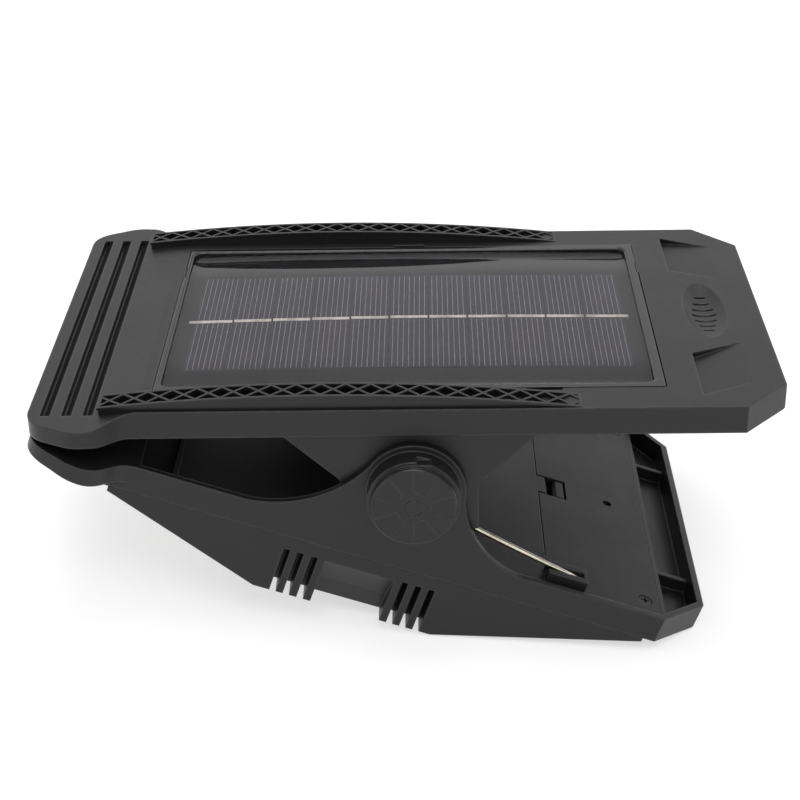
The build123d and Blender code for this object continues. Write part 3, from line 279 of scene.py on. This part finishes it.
M["board_g"] = moulded("board_green", (0.012, 0.10, 0.035), (0.10, 0.22, 0.12), (0.25, 0.38), radius=0.0001)
M["led"] = moulded("led_phosphor", (0.80, 0.62, 0.12), (0.85, 0.8, 0.6), (0.35, 0.5), radius=0.00008)
M["chip"] = moulded("component_black", (0.022, 0.022, 0.022), (0.06, 0.06, 0.06), (0.4, 0.55), radius=0.00012)
M["wrap"] = moulded("cell_wrap", (0.03, 0.16, 0.36), (0.3, 0.4, 0.5), (0.2, 0.32), grain=0.000003, radius=0.0003, coat=0.3)

USE = {
    "upper_jaw_shell": "shell", "lower_jaw_shell": "shell", "lamp_housing": "housing",
    "lattice_strap_far": "strap", "lattice_strap_near": "strap", "panel_tray": "tray",
    "solar_panel_laminate": "laminate", "panel_clear_resin": "resin", "solar_cells": "silicon", "busbar_ribbons": "ribbon",
    "panel_terminal_board": "board_g", "blocking_diode": "chip", "upper_inner_cover": "cover",
    "upper_cover_screws": "screw", "upper_grip_pad": "pad", "lower_grip_pad": "pad",
    "hub_cap_far": "hub", "hub_cap_near": "hub", "pivot_axle": "steel", "axle_retaining_clips": "steel",
    "torsion_spring_far": "spring", "torsion_spring_near": "spring", "inner_cover_plate": "cover",
    "cover_screws": "screw", "battery_door": "cover", "housing_gasket": "gasket", "housing_screws": "screw",
    "lens_front": "lens", "lens_rear": "lens", "led_board_front": "board_w", "led_board_rear": "board_w",
    "leds_front": "led", "leds_rear": "led", "main_circuit_board": "board_g", "board_components": "chip",
    "pir_sensor": "steel", "pir_dome": "dome", "tact_switch": "chip", "mode_button": "pad",
    "battery_cell": "wrap", "battery_contacts": "nickel", "battery_cradle": "cover",
}
for name, key in USE.items():
    o = nodes[name]
    o.data.materials.clear()
    o.data.materials.append(M[key])


def mesh_object(name, verts, faces, mat, smooth=False):
    me = bpy.data.meshes.new(name)
    me.from_pydata([tuple(v) for v in verts], [], faces)
    me.update()
    me.validate()
    o = bpy.data.objects.new(name, me)
    bpy.context.scene.collection.objects.link(o)
    me.materials.append(mat)
    if smooth:
        for p in me.polygons:
            p.use_smooth = True
    return o


def strip_boxes(name, a, items, mat):
    """Boxes given as (u0, u1, y0, y1, w0, w1) in a jaw's own directions, in millimetres."""
    verts, faces = [], []
    for u0, u1, y0, y1, w0, w1 in items:
        k = len(verts)
        for u, y, w in ((u0, y0, w0), (u1, y0, w0), (u1, y1, w0), (u0, y1, w0),
                        (u0, y0, w1), (u1, y0, w1), (u1, y1, w1), (u0, y1, w1)):
            verts.append(pt(a, u, w, y))
        faces += [(k, k + 3, k + 2, k + 1), (k + 4, k + 5, k + 6, k + 7), (k, k + 1, k + 5, k + 4),
                  (k + 1, k + 2, k + 6, k + 5), (k + 2, k + 3, k + 7, k + 6), (k + 3, k, k + 4, k + 7)]
    return mesh_object(name, verts, faces, mat)


# ------------------------------------------------------------------ printed fingers on the cells
CELLS, CELL_U0, CELL_P, CELL_L, CELL_HY, CELL_YC = 11, -65.8, 11.72, 11.45, 31.25, -2.0


def bow(u):
    """Height of the gently crowned panel at u, as in the CAD."""
    return 24.3 - 0.75 * ((u + 1.6) / 69.0) ** 2


bars = []
for i in range(CELLS):
    a0 = CELL_U0 + i * CELL_P + (CELL_P - CELL_L) / 2
    a1 = a0 + CELL_L
    for k in range(7):
        u = (a0 + a1) / 2 + (k - 3) * 1.57
        t = (u - a0) / CELL_L
        w = bow(a0) * (1 - t) + bow(a1) * t + 0.16
        for y0, y1 in ((CELL_YC - CELL_HY + 0.7, CELL_YC - 0.3), (CELL_YC + 0.6, CELL_YC + CELL_HY - 0.7)):
            bars.append((u - 0.065, u + 0.065, y0, y1, w - 0.004, w + 0.03))
fingers = strip_boxes("cell_fingers", UA, bars, M["finger"])
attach(fingers, "upper_jaw")

# ------------------------------------------------------------------ poured resin, crowned, with a meniscus at the rim
def resin_top(u, y):
    a = abs(y)
    z = 24.8 + 0.5 * (1 - ((u + 1.6) / 69.0) ** 2)
    if a > 28:
        z -= 0.0045 * (min(a, 35.5) - 28) ** 2
    if a > 35.5:
        z -= 0.0675 * (min(a, 41.5) - 35.5)
    if a > 41.5:
        z += -0.0675 * (a - 41.5) + 0.05 * (a - 41.5) ** 2
    e = min(u + 70.5, 67.3 - u)
    if e < 3:
        z += 0.045 * (3 - e) ** 2
    return z


def resin_grid():
    nu, ny, h, r = 90, 96, 45.9, 2.8
    ys = [h * math.sin(math.pi / 2 * (2 * j / ny - 1)) for j in range(ny + 1)]
    top, low = [], []
    for j in range(ny + 1):
        y = ys[j]
        over = max(0.0, abs(y) - (h - r))
        cut = r - math.sqrt(max(0.0, r * r - over * over))
        for i in range(nu + 1):
            f = 0.5 + 0.5 * math.sin(math.pi / 2 * (2 * i / nu - 1))
            u = -70.5 + cut + (137.8 - 2 * cut) * f
            top.append(pt(UA, u, resin_top(u, y), y))
            low.append(pt(UA, u, bow(u) + (0.03 if y > 31 or y < -35 else 0.30), y))
    n = nu + 1
    k = len(top)
    faces, mats = [], []
    for j in range(ny):
        for i in range(nu):
            a, b, c, d = j * n + i, j * n + i + 1, (j + 1) * n + i + 1, (j + 1) * n + i
            faces.append((a, b, c, d))
            mats.append(0)
            faces.append((k + a, k + d, k + c, k + b))
            mats.append(1)
    ring = [i for i in range(n)] + [j * n + nu for j in range(1, ny + 1)]
    ring += [ny * n + i for i in range(nu - 1, -1, -1)] + [j * n for j in range(ny - 1, 0, -1)]
    for q in range(len(ring)):
        a, b = ring[q], ring[(q + 1) % len(ring)]
        faces.append((b, a, k + a, k + b))
        mats.append(2)
    o = mesh_object("panel_resin", top + low, faces, M["resin"])
    o.data.materials.append(M["resin_bond"])
    for p, m_i in zip(o.data.polygons, mats):
        p.material_index = 1 if m_i == 1 else 0
        p.use_smooth = m_i != 2
    return o


resin = resin_grid()
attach(resin, "upper_jaw")
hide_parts("panel_clear_resin")

# ------------------------------------------------------------------ torsion springs, bending between the jaws
COIL_R, WIRE_R, COIL_Y0, COIL_Y1 = 7.3, 0.75, 43.2, 50.2
LEG_LO, LEG_UP = (57.0, -17.5), (54.0, 16.0)


def tangent(p, sign):
    d = math.hypot(*p)
    return math.atan2(p[1], p[0]) + sign * math.acos(COIL_R / d), math.sqrt(d * d - COIL_R ** 2)


def tube(name, path, radius, sides, mat):
    """Round wire along a path of points, with closed ends."""
    verts, faces = [], []
    n = len(path)
    prev = None
    for i, p in enumerate(path):
        t = (path[min(i + 1, n - 1)] - path[max(i - 1, 0)]).normalized()
        if prev is None:
            ref = Vector((0, 1, 0)) if abs(t.y) < 0.9 else Vector((1, 0, 0))
            nrm = t.cross(ref).normalized()
        else:
            nrm = (prev - t * prev.dot(t)).normalized()
        prev = nrm
        bi = t.cross(nrm)
        for k in range(sides):
            q = 2 * math.pi * k / sides
            verts.append(p + (nrm * math.cos(q) + bi * math.sin(q)) * radius)
    for i in range(n - 1):
        for k in range(sides):
            a, b = i * sides + k, i * sides + (k + 1) % sides
            faces.append((a, b, b + sides, a + sides))
    faces.append(tuple(reversed(range(sides))))
    faces.append(tuple(range((n - 1) * sides, n * sides)))
    return mesh_object(name, verts, faces, mat, True)


lo_ang, lo_len = tangent(LEG_LO, -1)
up_ang, up_len = tangent(LEG_UP, 1)
start, stop = lo_ang + LA, up_ang + UA
sweep = (start - stop) % (2 * math.pi) + 8 * math.pi
for s, nm in ((1, "far"), (-1, "near")):
    span = COIL_Y1 - COIL_Y0
    coil = []
    steps = 260
    for i in range(steps + 1):
        t = i / steps
        ang = start - sweep * t
        coil.append(Vector((PX + COIL_R * math.cos(ang), s * (COIL_Y1 - span * t), PZ + COIL_R * math.sin(ang))) / 1000.0)
    d0 = (coil[0] - coil[1]).normalized()
    d1 = (coil[-1] - coil[-2]).normalized()
    # exact tangents of the helix at its two ends
    rate = span / sweep
    tan0 = Vector((-math.sin(start) * COIL_R, s * rate, math.cos(start) * COIL_R)).normalized()
    tan1 = Vector((math.sin(stop) * COIL_R, -s * rate, -math.cos(stop) * COIL_R)).normalized()
    lo_leg = [coil[0] + tan0 * (lo_len / 1000.0) * (k / 14) for k in range(14, 0, -1)]
    up_leg = [coil[-1] + tan1 * (up_len / 1000.0) * (k / 14) for k in range(1, 15)]
    wire = tube("spring_wire_" + nm, lo_leg + coil + up_leg, WIRE_R / 1000.0, 14, M["spring"])
    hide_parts("torsion_spring_" + nm)
    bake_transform(wire)

# ------------------------------------------------------------------ floor, light, camera
floor_mat = Mat("studio_floor")
floor_mat.l(floor_mat.mix(floor_mat.ramp(floor_mat.noise(3, 3), 0.3, 0.7), (0.46, 0.46, 0.46), (0.45, 0.45, 0.45)),
            floor_mat.b.inputs["Base Color"])
floor_mat.b.inputs["Roughness"].default_value = 0.9
floor_mat.b.inputs["Specular IOR Level"].default_value = 0.1
floor_mat.b.inputs["Emission Color"].default_value = (1, 1, 1, 1)
floor_mat.b.inputs["Emission Strength"].default_value = 0.60
floor = mesh_object("studio_floor", [(-6, -6, -0.0004), (6, -6, -0.0004), (6, 6, -0.0004), (-6, 6, -0.0004)], [(0, 1, 2, 3)], floor_mat.m)

world = bpy.data.worlds.new("studio")
bpy.context.scene.world = world
world.use_nodes = True
wt = world.node_tree
bg = wt.nodes["Background"]
geo = wt.nodes.new("ShaderNodeTexCoord")
sep = wt.nodes.new("ShaderNodeSeparateXYZ")
wt.links.new(geo.outputs["Generated"], sep.inputs[0])
rng = wt.nodes.new("ShaderNodeMapRange")
rng.inputs["From Min"].default_value, rng.inputs["From Max"].default_value = 0.0, 0.7
rng.inputs["To Min"].default_value, rng.inputs["To Max"].default_value = 0.85, 1.0
wt.links.new(sep.outputs["Z"], rng.inputs["Value"])
wt.links.new(rng.outputs["Result"], bg.inputs["Color"])
bg.inputs["Strength"].default_value = 1.0


def area(name, loc, target, size, power, size_y=None):
    d = bpy.data.lights.new(name, "AREA")
    d.energy = power
    d.size = size
    if size_y:
        d.shape = "RECTANGLE"
        d.size_y = size_y
    o = bpy.data.objects.new(name, d)
    bpy.context.scene.collection.objects.link(o)
    o.location = loc
    o.rotation_euler = (Vector(target) - Vector(loc)).to_track_quat("-Z", "Y").to_euler()
    return o


area("top_soft", (-0.1, 0.2, 1.3), (0, 0, 0.05), 0.6, 6)
area("front_soft", (-0.15, -0.8, 1.15), (0, 0, 0.04), 0.9, 4, 0.45)

cam_data = bpy.data.cameras.new("camera")
cam = bpy.data.objects.new("camera", cam_data)
bpy.context.scene.collection.objects.link(cam)
cam_data.sensor_width = 36.0
cam_data.lens = 82.002
cam_data.clip_start, cam_data.clip_end = 0.05, 30.0
cam.matrix_world = Matrix(((0.9969133, -0.0732648, -0.0282147, -0.016975),
                           (0.0101841, 0.4770189, -0.878834, -0.493398),
                           (0.0778465, 0.875834, 0.4762926, 0.311468),
                           (0, 0, 0, 1)))
bpy.context.scene.camera = cam
bpy.context.scene.view_settings.view_transform = "Standard"
